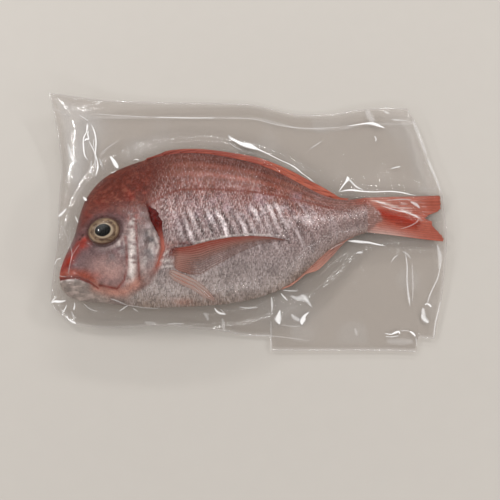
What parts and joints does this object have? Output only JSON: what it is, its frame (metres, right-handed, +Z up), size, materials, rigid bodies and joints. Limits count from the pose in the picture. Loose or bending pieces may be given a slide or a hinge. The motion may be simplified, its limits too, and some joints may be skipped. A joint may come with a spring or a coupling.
{
  "type": "whole raw fish in a vacuum bag",
  "caption": "Whole raw sea bream with head, scales and fins on, lying on its side, shrunk tight in a clear flat vacuum bag with a wavy film margin",
  "frame": {"origin": "on the surface the pack lies on, under the middle of the whole pack in plan", "axes": "+X runs from head to tail, +Y from belly to back, +Z up out of the fish's left flank, which lies uppermost"},
  "size_m": [0.3492, 0.228, 0.0488],
  "materials": {
    "fish_skin": "wet scaled skin, deep red back to silver belly",
    "fish_fin": "wet orange red fin membrane and rays",
    "fish_eye": "clouded dark eye in an olive gold ring",
    "bag_film": "clear glossy plastic film, wet inside"
  },
  "bodies": {
    "root": {"fish_in_vacuum_bag": "fish_skin"}
  },
  "joints": []
}
